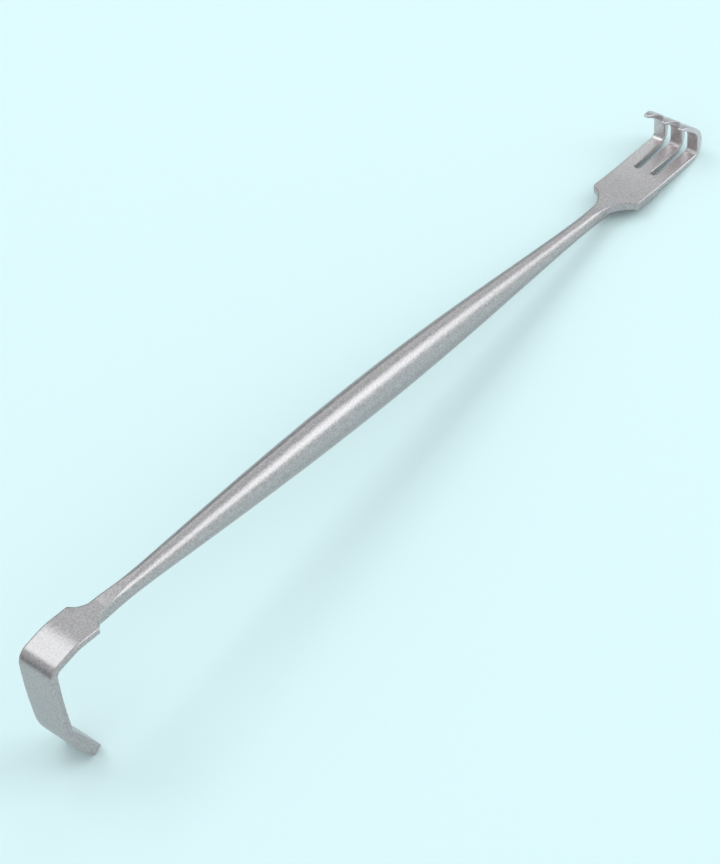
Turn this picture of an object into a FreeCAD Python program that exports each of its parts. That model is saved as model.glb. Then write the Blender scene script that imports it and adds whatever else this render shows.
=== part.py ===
import FreeCAD, Part
import math
import os

# Hand-held surgical retractor, forged in one piece: a flat hooked blade at one
# end, a three-pronged rake at the other and a spindle-shaped handle between.
# It is drawn with the handle level along X and the mirror plane at y = 0, then
# laid down on its two ends the way it rests on a table. All sizes are in mm.

V = FreeCAD.Vector

# Blade: a strip that runs on from the handle, bends down and ends in a lip
blade_width = 7.4
blade_top = 0.83
blade_thickness = 1.15
blade_root_x = -69.4
blade_ease_x = -73.9
blade_ease_turn = 14.5
blade_ease_radius = 9.0
blade_ease_length = 6.14
blade_bend_turn = 76.0
blade_bend_radius = 2.8
blade_inner_bend_radius = 1.0
blade_top_edge_radius = 0.35
blade_under_edge_radius = 0.2
leg_length = 16.15
leg_upper_share = 0.45
leg_thickness = 1.42
leg_curve_turn = 5.0
leg_curve_radius = 80.0
lip_turn = 29.0
lip_bend_radius = 10.0
lip_inner_radius = 0.6
lip_length = 7.9
lip_root_thickness = 2.45
lip_end_thickness = 2.0
lip_corner_radius = 1.6
shoulder_drop = 0.6
shoulder_slant = 0.4
shoulder_reach = 4.2
shoulder_sweep_share = 0.36
shoulder_sweep_gap = 0.75

# Rake: a thick root, a thinner sheet and three prongs that curl upward
rake_top = 0.88
rake_root_x = 61.35
rake_root_thickness = 1.6
ramp_x = 66.5
ramp_length = 1.2
ramp_radius = 20.0
ramp_edge_radius = 0.5
sheet_rise = 2.2
prong_thickness = 1.0
prong_width = 2.45
slot_width = 1.2
slot_start_x = 70.1
prong_bend_x = 78.75
prong_bend_turn = 86.0
prong_inner_bend_radius = 0.9
prong_outer_bend_radius = 3.3
upright_length = 3.6
upright_thickness = 1.2
prong_curl_turn = 43.5
prong_curl_radius = 2.0
claw_turn = 27.0
claw_radius = 9.0
claw_end_thickness = 0.3
claw_end_width = 0.6
claw_side_fullness = 0.75
claw_plan_fullness = 0.62
rake_edge_radius = 0.2
rake_shoulder_radius = 0.55
rake_shoulder_reach = 5.5
rake_sweep_share = 0.42
rake_sweep_gap = 1.05

# Handle: a spindle that starts from a square neck at each end
blade_neck_x = -61.0
rake_neck_x = 56.0
middle_x = -4.0
blade_neck_half_width = 1.46
blade_neck_half_height = 1.47
rake_neck_half_width = 1.25
rake_neck_half_height = 1.3
middle_half_width = 2.86
middle_half_height = 3.5
neck_exponent = 7.0
rounding_length = 16.0
blade_side_swell = 1.05
rake_side_swell = 1.42
neck_centre_z = -0.2
middle_centre_z = 0.02
station_count = 21
quarter_steps = 9
blade_bar_end_x = -68.6
rake_bar_end_x = 61.5
flat_top_overlap = 1.0
blade_flat_x = -65.6
rake_flat_x = 56.0
blade_flat_length = 8.0
rake_flat_length = 6.0
rake_flat_lift = 0.05
top_line_depth = 0.02
top_line_end_x = -12.0
run_out_length = 4.5
run_out_fall = 10.0
run_out_depth = 0.2

# Rest on the table: how finely the surface is sampled, and halvings of the tilt
rest_accuracy = 0.05
rest_steps = 24

# Width of the buried strip ends as a share of the neck, the size of the cutting
# solids, and the largest distance that still counts as touching
buried_share = 0.85
cutter = 60.0
touching = 1e-3


def heading(degrees):
    angle = math.radians(degrees)
    return V(math.cos(angle), 0, math.sin(angle))


def reach(radius, turn):
    """Distance from a corner to where its rounding begins."""
    return radius * math.tan(math.radians(turn / 2))


def line(a, b):
    return Part.LineSegment(a, b).toShape()


def arc(a, b, c):
    return Part.Arc(a, b, c).toShape()


def chain(start, moves):
    """Corner points of a path from start; each move is (heading, length)."""
    points = [start]
    for degrees, length in moves:
        points.append(points[-1] + heading(degrees) * length)
    return points


def rounded(points, radii):
    """Edges along the points, the inner corners rounded with the radii."""
    edges = []
    at = points[0]
    for i, radius in enumerate(radii):
        corner = points[i + 1]
        back = (points[i] - corner).normalize()
        ahead = (points[i + 2] - corner).normalize()
        half_angle = back.getAngle(ahead) / 2
        cut_back = radius / math.tan(half_angle)
        middle = (back + ahead).normalize()
        first = corner + back * cut_back
        last = corner + ahead * cut_back
        depth = radius / math.sin(half_angle) - radius
        if (first - at).Length > touching:
            edges.append(line(at, first))
        edges.append(arc(first, corner + middle * depth, last))
        at = last
    if (points[-1] - at).Length > touching:
        edges.append(line(at, points[-1]))
    return edges


def beside(points, gaps, side):
    """The path shifted sideways, segment by segment, by its own gap."""
    normals = []
    for a, b in zip(points, points[1:]):
        along = (b - a).normalize()
        normals.append(V(-along.z, 0, along.x) * side)
    shifted = [points[0] + normals[0] * gaps[0]]
    for i in range(1, len(normals)):
        n, m = normals[i - 1], normals[i]
        cross = n.x * m.z - n.z * m.x
        x = (gaps[i - 1] * m.z - gaps[i] * n.z) / cross
        z = (n.x * gaps[i] - m.x * gaps[i - 1]) / cross
        shifted.append(points[i] + V(x, 0, z))
    shifted.append(points[-1] + normals[-1] * gaps[-1])
    return shifted


def strip(near, far, width):
    """Solid between two open paths in the XZ plane, centred on y = 0."""
    caps = [line(near[-1].Vertexes[-1].Point, far[-1].Vertexes[-1].Point)]
    caps.append(line(far[0].Vertexes[0].Point, near[0].Vertexes[0].Point))
    face = Part.Face(Part.Wire(Part.__sortEdges__(near + far + caps)))
    face.translate(V(0, -width / 2, 0))
    return face.extrude(V(0, width, 0))


def plan(edges):
    """Solid standing on a half outline given for y > 0, mirrored at y = 0."""
    mirrored = [e.mirror(V(0, 0, 0), V(0, 1, 0)) for e in edges]
    ends = [edges[0].Vertexes[0].Point, edges[-1].Vertexes[-1].Point]
    for end in ends:
        mirrored.append(line(end, V(end.x, -end.y, 0)))
    face = Part.Face(Part.Wire(Part.__sortEdges__(edges + mirrored)))
    face.translate(V(0, 0, -cutter / 2))
    return face.extrude(V(0, 0, cutter))


def runs_across(edge):
    """True for an edge parallel to Y."""
    box = edge.BoundBox
    return box.XLength < touching and box.ZLength < touching


def on_path(edge, path):
    """True where the middle of an edge lies on the side-view path."""
    middle = edge.valueAt((edge.FirstParameter + edge.LastParameter) / 2)
    shadow = Part.Vertex(V(middle.x, 0, middle.z))
    return min(shadow.distToShape(piece)[0] for piece in path) < touching


# Blade side view: outer path, its inner neighbour, and the solid strip
inside_neck_x = blade_flat_x + flat_top_overlap
leg_heading = 180 + blade_ease_turn + blade_bend_turn + leg_curve_turn
blade_outer = chain(
    V(inside_neck_x, 0, blade_top),
    [
        (180, inside_neck_x - blade_ease_x),
        (180 + blade_ease_turn, blade_ease_length),
        (180 + blade_ease_turn + blade_bend_turn, leg_length * leg_upper_share),
        (leg_heading, leg_length * (1 - leg_upper_share)),
        (leg_heading + lip_turn, lip_length),
    ],
)
blade_gaps = [blade_thickness] * 2 + [leg_thickness] * 2 + [lip_root_thickness]
blade_inner = beside(blade_outer, blade_gaps, 1)
lip_end = blade_outer[-1]
lip_normal = (blade_inner[-1] - lip_end).normalize()
blade_inner[-1] = lip_end + lip_normal * lip_end_thickness
outer_radii = [blade_ease_radius, blade_bend_radius, leg_curve_radius, lip_bend_radius]
inner_radii = [
    blade_ease_radius - blade_thickness,
    blade_inner_bend_radius,
    leg_curve_radius - leg_thickness,
    lip_inner_radius,
]
outer_edges = rounded(blade_outer, outer_radii)
inner_edges = rounded(blade_inner, inner_radii)
blade = strip(outer_edges, inner_edges, cutter)

# Blade plan view: straight sides, then shoulders that sweep in to the neck
half = blade_width / 2
corner = V(blade_root_x, half, 0)
step = V(blade_root_x + shoulder_slant, half - shoulder_drop, 0)
neck_end = V(blade_root_x + shoulder_reach, buried_share * blade_neck_half_width, 0)
sweep_x = blade_root_x + shoulder_sweep_share * shoulder_reach
sweep = V(sweep_x, blade_neck_half_width + shoulder_sweep_gap, 0)
blade = blade.common(
    plan(
        [
            line(V(blade_ease_x - cutter, half, 0), corner),
            line(corner, step),
            arc(step, sweep, neck_end),
            line(neck_end, V(inside_neck_x, neck_end.y, 0)),
        ]
    )
)

# Blade rounding: the two corners of the lip, then the rims of both faces; the
# shoulder steps and the part inside the neck stay as they are
lip_end_middle = (blade_outer[-1] + blade_inner[-1]) / 2
lip_corners = [
    edge
    for edge in blade.Edges
    if not runs_across(edge)
    and abs(edge.CenterOfMass.x - lip_end_middle.x) < touching
    and abs(edge.CenterOfMass.z - lip_end_middle.z) < touching
]
blade = blade.makeFillet(lip_corner_radius, lip_corners)


def blade_rims(path):
    """Edges of one broad face: both long sides and the lip's end."""
    end = [line(blade_outer[-1], blade_inner[-1])]
    rims = []
    for edge in blade.Edges:
        if runs_across(edge) and not on_path(edge, end):
            continue
        straight = edge.Curve.TypeId == "Part::GeomLine"
        in_neck = edge.BoundBox.XMin > blade_root_x - touching
        if on_path(edge, path) and not (straight and in_neck):
            rims.append(edge)
    return rims


blade = blade.makeFillet(blade_under_edge_radius, blade_rims(inner_edges))
blade = blade.makeFillet(blade_top_edge_radius, blade_rims(outer_edges))

# Rake side view: root, ramp on the underside, sheet, upright prongs and claws
rise = sheet_rise
upright_heading = rise + prong_bend_turn
claw_heading = upright_heading + prong_curl_turn
rake_start_x = rake_flat_x - flat_top_overlap
rake_inner = chain(
    V(rake_start_x, 0, rake_top),
    [
        (0, ramp_x - rake_start_x),
        (rise, (prong_bend_x - ramp_x) / math.cos(math.radians(rise))),
        (upright_heading, upright_length),
        (claw_heading, reach(prong_curl_radius, prong_curl_turn)),
    ],
)
prong_gaps = [prong_thickness] * 2 + [upright_thickness, prong_thickness]
rake_outer = beside(rake_inner, prong_gaps, -1)
ramp_end = rake_outer[1] + heading(rise) * ramp_length
rake_outer[0:2] = [
    V(rake_start_x, 0, rake_top - rake_root_thickness),
    V(ramp_x, 0, rake_top - rake_root_thickness),
    ramp_end,
]
rake_inner_edges = rounded(
    rake_inner,
    [ramp_radius, prong_inner_bend_radius, prong_curl_radius],
)
rake_outer_edges = rounded(
    rake_outer,
    [
        ramp_edge_radius,
        ramp_edge_radius,
        prong_outer_bend_radius,
        prong_curl_radius + prong_thickness,
    ],
)


def claw(share, gap):
    """Point on the claw, share of the way along it, gap outside its inner face."""
    centre = rake_inner[-1] + heading(claw_heading + 90) * claw_radius
    return centre - heading(claw_heading + 90 + share * claw_turn) * (claw_radius + gap)


tip = claw(1, 0)
claw_thinning = prong_thickness - claw_end_thickness
claw_middle_gap = claw_end_thickness + claw_side_fullness * claw_thinning
rake_inner_edges.append(arc(claw(0, 0), claw(0.5, 0), tip))
rake_outer_edges.append(
    arc(claw(0, prong_thickness), claw(0.5, claw_middle_gap), claw(1, claw_end_thickness))
)
rake_width = 3 * prong_width + 2 * slot_width
rake = strip(rake_inner_edges, rake_outer_edges, cutter)

# Rake plan view: shoulders, straight sides, slots
half = rake_width / 2
side = V(rake_root_x, half, 0)
nose = V(rake_root_x - rake_shoulder_radius, half - rake_shoulder_radius, 0)
bulge = rake_shoulder_radius * math.sqrt(0.5)
nose_middle = V(rake_root_x - bulge, half - rake_shoulder_radius + bulge, 0)
neck_end = V(rake_root_x - rake_shoulder_reach, buried_share * rake_neck_half_width, 0)
sweep_x = rake_root_x - rake_sweep_share * rake_shoulder_reach
sweep = V(sweep_x, rake_neck_half_width + rake_sweep_gap, 0)
rake = rake.common(
    plan(
        [
            line(V(rake_start_x, neck_end.y, 0), neck_end),
            arc(neck_end, sweep, nose),
            arc(nose, nose_middle, side),
            line(side, V(prong_bend_x + cutter, half, 0)),
        ]
    )
)
for sign in (1, -1):
    slot_y = sign * (prong_width + slot_width) / 2
    slot_corner = V(slot_start_x, slot_y - slot_width / 2, -cutter / 2)
    slot = Part.makeBox(cutter, slot_width, cutter, slot_corner)
    slot_foot = V(slot_start_x, slot_y, -cutter / 2)
    slot_end = Part.makeCylinder(slot_width / 2, cutter, slot_foot)
    rake = rake.cut(slot.fuse(slot_end))

# Claws: each prong tapers to a blunt point where it has curled right over
claw_start = claw(0, 0)
claw_low_z = claw_start.z - prong_curl_radius
claw_end_x = tip.x - claw_end_thickness
claw_free_x = claw_end_x - prong_width
bulge_x = (claw_start.x + tip.x) / 2
bulge_width = claw_plan_fullness * prong_width + (1 - claw_plan_fullness) * claw_end_width
for k in (-1, 0, 1):
    for sign in (1, -1):
        y = k * (prong_width + slot_width)
        wide = y + sign * prong_width / 2
        narrow = y + sign * claw_end_width / 2
        outside = wide + sign * slot_width / 3
        a = V(claw_start.x, wide, claw_low_z)
        b = V(claw_end_x, narrow, claw_low_z)
        c = V(claw_free_x, narrow, claw_low_z)
        d = V(claw_free_x, outside, claw_low_z)
        e = V(claw_start.x, outside, claw_low_z)
        middle = V(bulge_x, y + sign * bulge_width / 2, claw_low_z)
        outline = [arc(a, middle, b), line(b, c), line(c, d), line(d, e), line(e, a)]
        rake = rake.cut(Part.Face(Part.Wire(outline)).extrude(V(0, 0, cutter)))


def is_rake_rim(edge):
    """Rims of the plate and the prongs as far as the curls, not the claws."""
    box = edge.BoundBox
    if runs_across(edge) or box.XMin < rake_start_x + touching:
        return False
    return box.ZMax < claw_start.z or box.XMax > claw_start.x + touching


rake = rake.makeFillet(rake_edge_radius, [e for e in rake.Edges if is_rake_rim(e)])


def handle_size(x):
    """Half width, half height, centre height and swell of the handle at x."""
    if x < middle_x:
        along = (x - blade_neck_x) / (middle_x - blade_neck_x)
        width = blade_neck_half_width
        height = blade_neck_half_height
        power = blade_side_swell
    else:
        along = (rake_neck_x - x) / (rake_neck_x - middle_x)
        width = rake_neck_half_width
        height = rake_neck_half_height
        power = rake_side_swell
    swell = math.sin(math.pi / 2 * max(along, 0.0)) ** power
    width += (middle_half_width - width) * swell
    height += (middle_half_height - height) * swell
    centre = neck_centre_z + (middle_centre_z - neck_centre_z) * swell
    return width, height, centre, swell


def handle_section(x):
    """Closed outline across the handle: a rounded square at the necks that
    swells into an upright oval towards the middle."""
    width, height, centre, _ = handle_size(x)
    from_end = min(x - blade_bar_end_x, rake_bar_end_x - x)
    squareness = max(1 - from_end / rounding_length, 0.0) ** 3
    n = 2 + (neck_exponent - 2) * squareness
    quarters = []
    for quarter in range(4):
        points = []
        for k in range(quarter_steps + 1):
            angle = math.pi / 2 * (quarter + k / quarter_steps)
            c = math.cos(angle)
            s = math.sin(angle)
            r = (abs(c / width) ** n + abs(s / height) ** n) ** (-1 / n)
            points.append(V(x, r * c, centre + r * s))
        tangents = [V(0, 0, 1), V(0, -1, 0), V(0, 0, -1), V(0, 1, 0)]
        curve = Part.BSplineCurve()
        curve.interpolate(
            Points=points,
            Parameters=[k / quarter_steps for k in range(quarter_steps + 1)],
            InitialTangent=tangents[quarter],
            FinalTangent=tangents[(quarter + 1) % 4],
        )
        quarters.append(curve.toShape())
    return Part.Wire(quarters)


def flat_height(x):
    """Height of the flat ground along the top of the handle: it rises from the
    plate's level to the spindle's top, where a thin line of it runs on over
    the blade's half of the handle."""
    _, height, centre, swell = handle_size(x)
    if x < middle_x:
        share = (x - blade_flat_x) / blade_flat_length
        neck_depth = neck_centre_z + blade_neck_half_height - blade_top
        line_depth = top_line_depth * math.sqrt(1 - swell)
    else:
        share = (rake_flat_x - x) / rake_flat_length
        neck_depth = neck_centre_z + rake_neck_half_height - rake_top
        line_depth = -rake_flat_lift
    fade = (1 - min(max(share, 0.0), 1.0)) ** 2
    return centre + height - neck_depth * fade - line_depth * (1 - fade)


def above(bar_end_x, flat_x, last_x):
    """Solid over the flat top: level over the bar, then along flat_height."""
    steps = [k / station_count for k in range(station_count + 1)]
    heights = [V(x, 0, flat_height(x)) for x in (flat_x + (last_x - flat_x) * k for k in steps)]
    curve = Part.BSplineCurve()
    curve.interpolate(heights)
    level = V(bar_end_x, 0, curve.StartPoint.z)
    corners = [V(last_x, 0, cutter), V(bar_end_x, 0, cutter)]
    sides = [
        line(level, curve.StartPoint),
        line(curve.EndPoint, corners[0]),
        line(corners[0], corners[1]),
        line(corners[1], level),
    ]
    face = Part.Face(Part.Wire(Part.__sortEdges__([curve.toShape()] + sides)))
    face.translate(V(0, -cutter / 2, 0))
    return face.extrude(V(0, cutter, 0))


# Handle: the spindle with its square necks carried on under both plates; the
# sections stand closer together towards its ends
bar_middle = (blade_bar_end_x + rake_bar_end_x) / 2
bar_half = (rake_bar_end_x - blade_bar_end_x) / 2
stations = [
    bar_middle - bar_half * math.cos(math.pi * k / (station_count - 1))
    for k in range(station_count)
]
handle = Part.makeLoft([handle_section(x) for x in stations], True, False)
handle = handle.cut(above(blade_bar_end_x, blade_flat_x, top_line_end_x))
handle = handle.cut(above(rake_bar_end_x, rake_flat_x, rake_flat_x - rake_flat_length))

# Necks: on the underside each bar runs out under its plate
blade_under = blade_top - blade_thickness
rake_under = rake_top - rake_root_thickness
ends = (
    (blade_bar_end_x, 1, blade_under),
    (rake_bar_end_x, -1, rake_under),
)
for end_x, inward, under in ends:
    corners = [
        V(end_x, 0, under + run_out_depth),
        V(end_x + inward * run_out_length, 0, -run_out_fall),
        V(end_x - inward * run_out_length, 0, -run_out_fall),
        V(end_x - inward * run_out_length, 0, under + run_out_depth),
    ]
    wedge = Part.Face(Part.makePolygon(corners + [corners[0]]))
    wedge.translate(V(0, -cutter / 2, 0))
    handle = handle.cut(wedge.extrude(V(0, cutter, 0)))

retractor = handle.fuse([blade, rake]).removeSplitter()

# Rest: turned about Y until the end of the lip and the bends of the prongs are
# level, then moved so that it stands on z = 0 with its middle over the origin
surface_points = retractor.tessellate(rest_accuracy)[0]


def lean(degrees):
    """How much lower the lip's end is than the prongs after the turn."""
    cosine = math.cos(math.radians(degrees))
    sine = math.sin(math.radians(degrees))
    lip_low = min(p.z * cosine - p.x * sine for p in surface_points if p.x < 0)
    prong_low = min(p.z * cosine - p.x * sine for p in surface_points if p.x > 0)
    return prong_low - lip_low


least = 0.0
most = 20.0
for _ in range(rest_steps):
    rest_tilt = (least + most) / 2
    if lean(rest_tilt) > 0:
        least = rest_tilt
    else:
        most = rest_tilt
retractor.rotate(V(0, 0, 0), V(0, 1, 0), rest_tilt)
box = retractor.optimalBoundingBox(False, False)
retractor.translate(V(-box.Center.x, -box.Center.y, -box.ZMin))

os.makedirs("parts", exist_ok=True)
retractor.exportStep("parts/retractor.step")
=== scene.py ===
import math

import bmesh
import bpy
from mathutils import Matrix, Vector

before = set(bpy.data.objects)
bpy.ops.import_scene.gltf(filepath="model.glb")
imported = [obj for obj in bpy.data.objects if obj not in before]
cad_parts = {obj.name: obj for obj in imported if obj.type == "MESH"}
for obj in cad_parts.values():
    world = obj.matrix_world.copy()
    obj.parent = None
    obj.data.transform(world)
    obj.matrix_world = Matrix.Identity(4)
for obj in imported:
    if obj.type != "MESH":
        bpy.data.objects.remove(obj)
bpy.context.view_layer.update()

# Retractor: the whole instrument is one forging of stainless steel, ground and
# then blasted with fine glass beads, so that it doesn't dazzle under a theatre
# lamp. Its edges are rubbed round. Lengths are in metres.
grain_width = 0.0003
grain_height = 0.00002
grain_strength = 0.5
edge_wear = 0.0004
satin_roughness = (0.32, 0.40)
steel_greys = ("B0A4A4", "E5D8D8")
grain_contrast = 0.42
# Painted light: how much lighter the rake's steel is painted, for the brighter light that
# falls on it.
rake_painted_light = 0.55
rake_plate_x = 0.062
rake_prongs_x = 0.079


def linear(code):
    """A colour written as an sRGB hex value, as linear red, green, blue, alpha."""
    parts = [int(code[i : i + 2], 16) / 255 for i in (0, 2, 4)]
    parts = [c / 12.92 if c <= 0.04045 else ((c + 0.055) / 1.055) ** 2.4 for c in parts]
    return (*parts, 1.0)


def add(tree, kind, links=(), **settings):
    """A node with its settings; links pairs each input with what feeds it."""
    node = tree.nodes.new(kind)
    for name, value in settings.items():
        if hasattr(node, name):
            setattr(node, name, value)
        else:
            node.inputs[name.replace("_", " ")].default_value = value
    for socket, source in links:
        tree.links.new(source, node.inputs[socket])
    return node


# Satin stainless steel, bead blasted: a soft grey that spreads every highlight.
# Its greys lean warm to look neutral in cool light. The real pits are under
# 0.1 mm wide and are drawn three times as coarse, so that they show.
steel = bpy.data.materials.new("satin_stainless_steel")
steel.use_nodes = True
tree = steel.node_tree
tree.nodes.clear()
place = add(tree, "ShaderNodeTexCoord").outputs["Object"]
grain = add(tree, "ShaderNodeTexNoise", [("Vector", place)], Scale=1 / grain_width, Detail=1.0)
pits = grain.outputs["Fac"]
fleck = add(tree, "ShaderNodeMapRange", [("Value", pits)], From_Min=0.35, From_Max=0.65)
roughness = add(
    tree,
    "ShaderNodeMapRange",
    [("Value", fleck.outputs["Result"])],
    To_Min=satin_roughness[0],
    To_Max=satin_roughness[1],
)
# Painted light: the rake is painted a little lighter, more so towards its prongs, for the
# light it catches.
length_along = add(tree, "ShaderNodeSeparateXYZ", [("Vector", place)]).outputs["X"]
rake_painted_light_share = add(
    tree,
    "ShaderNodeMapRange",
    [("Value", length_along)],
    From_Min=rake_plate_x,
    From_Max=rake_prongs_x,
    To_Max=rake_painted_light,
)
# Grain tone that varies at random, plus the painted light on the rake.
grain_and_painted_light = add(tree, "ShaderNodeMath", operation="MULTIPLY_ADD")
tree.links.new(fleck.outputs["Result"], grain_and_painted_light.inputs[0])
grain_and_painted_light.inputs[1].default_value = grain_contrast
tree.links.new(rake_painted_light_share.outputs["Result"], grain_and_painted_light.inputs[2])
greys = add(tree, "ShaderNodeValToRGB", [("Fac", grain_and_painted_light.outputs["Value"])])
for stop, code in zip(greys.color_ramp.elements, steel_greys):
    stop.color = linear(code)
worn_edges = add(tree, "ShaderNodeBevel", samples=8, Radius=edge_wear)
bump = add(
    tree,
    "ShaderNodeBump",
    [("Height", pits), ("Normal", worn_edges.outputs["Normal"])],
    Strength=grain_strength,
    Distance=grain_height,
)
metal = add(
    tree,
    "ShaderNodeBsdfPrincipled",
    [
        ("Base Color", greys.outputs["Color"]),
        ("Roughness", roughness.outputs["Result"]),
        ("Normal", bump.outputs["Normal"]),
    ],
    Metallic=1.0,
)
add(tree, "ShaderNodeOutputMaterial", [("Surface", metal.outputs["BSDF"])])

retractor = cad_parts["retractor"]
for index in range(max(1, len(retractor.data.materials))):
    if index < len(retractor.data.materials):
        retractor.data.materials[index] = steel
    else:
        retractor.data.materials.append(steel)

# Table: a plain pale board under the instrument, painted matt, so that it shows
# a soft shadow and no reflections. It is wide enough to fill the view.
board_half = 2.0
board_colour = "F0FDFE"
mesh = bpy.data.meshes.new("table_board")
table = bpy.data.objects.new("table_board", mesh)
bpy.context.collection.objects.link(table)
shape = bmesh.new()
bmesh.ops.create_grid(shape, x_segments=1, y_segments=1, size=board_half)
shape.to_mesh(mesh)
shape.free()
board = bpy.data.materials.new("pale_matt_board")
board.use_nodes = True
tree = board.node_tree
tree.nodes.clear()
paint = add(tree, "ShaderNodeBsdfDiffuse", Color=linear(board_colour))
add(tree, "ShaderNodeOutputMaterial", [("Surface", paint.outputs["BSDF"])])
mesh.materials.append(board)

# Studio: a pale, slightly cool room with a dark curtain low along its far side,
# and four soft boxes, all as far away, that lay broad highlights on the steel.
cool_white = (0.84, 0.978, 1.0)
room_level = 0.775
curtain_level = 0.15
curtain_top_z = 0.62
curtain_foot_z = 0.05
curtain_full_y = 0.45
lamp_distance = 2.4
room = bpy.data.worlds.new("pale_room")
bpy.context.scene.world = room
room.use_nodes = True
tree = room.node_tree
tree.nodes.clear()
sky = add(tree, "ShaderNodeTexCoord").outputs["Generated"]
towards = add(tree, "ShaderNodeSeparateXYZ", [("Vector", sky)])
low = add(
    tree,
    "ShaderNodeMapRange",
    [("Value", towards.outputs["Z"])],
    interpolation_type="SMOOTHSTEP",
    From_Min=curtain_top_z,
    From_Max=curtain_foot_z,
)
far = add(
    tree,
    "ShaderNodeMapRange",
    [("Value", towards.outputs["Y"])],
    interpolation_type="SMOOTHSTEP",
    From_Min=0.0,
    From_Max=curtain_full_y,
)
shade = add(tree, "ShaderNodeMath", operation="MULTIPLY")
tree.links.new(low.outputs["Result"], shade.inputs[0])
tree.links.new(far.outputs["Result"], shade.inputs[1])
level = add(
    tree,
    "ShaderNodeMapRange",
    [("Value", shade.outputs["Value"])],
    To_Min=room_level,
    To_Max=curtain_level,
)
glow = add(
    tree,
    "ShaderNodeBackground",
    [("Strength", level.outputs["Result"])],
    Color=(*cool_white, 1.0),
)
add(tree, "ShaderNodeOutputWorld", [("Surface", glow.outputs["Background"])])


def soft_box(name, direction, width, height, radiance):
    """A lamp that the instrument sees in the given direction."""
    light = bpy.data.lights.new(name, "AREA")
    light.shape = "RECTANGLE"
    light.size = width
    light.size_y = height
    light.energy = radiance * math.pi * width * height
    light.color = cool_white
    lamp = bpy.data.objects.new(name, light)
    bpy.context.collection.objects.link(lamp)
    lamp.location = Vector(direction).normalized() * lamp_distance
    lamp.rotation_euler = Vector(direction).to_track_quat("Z", "Y").to_euler()


soft_box("overhead_box", (0.02, 0.54, 0.83), 1.5, 1.1, 1.85)
soft_box("side_box", (0.60, -0.54, 0.59), 1.6, 1.2, 1.75)
soft_box("low_box", (0.56, -0.73, 0.38), 0.9, 0.8, 1.2)
soft_box("end_box", (0.77, 0.46, 0.44), 1.6, 1.2, 0.45)

# Camera: a long lens that looks down on the instrument from beyond its blade,
# turned a little about its own axis. The picture's height sets the lens.
film_height = 36.0
focal_length = 108.1
camera_place = (-0.188143, -0.227440, 0.314325)
camera_turn = (42.3196, 10.2499, -49.4187)
lens = bpy.data.cameras.new("camera")
lens.sensor_fit = "VERTICAL"
lens.sensor_height = film_height
lens.lens = focal_length
camera = bpy.data.objects.new("camera", lens)
bpy.context.collection.objects.link(camera)
camera.location = camera_place
camera.rotation_euler = [math.radians(angle) for angle in camera_turn]
bpy.context.scene.camera = camera
bpy.context.scene.view_settings.view_transform = "Standard"
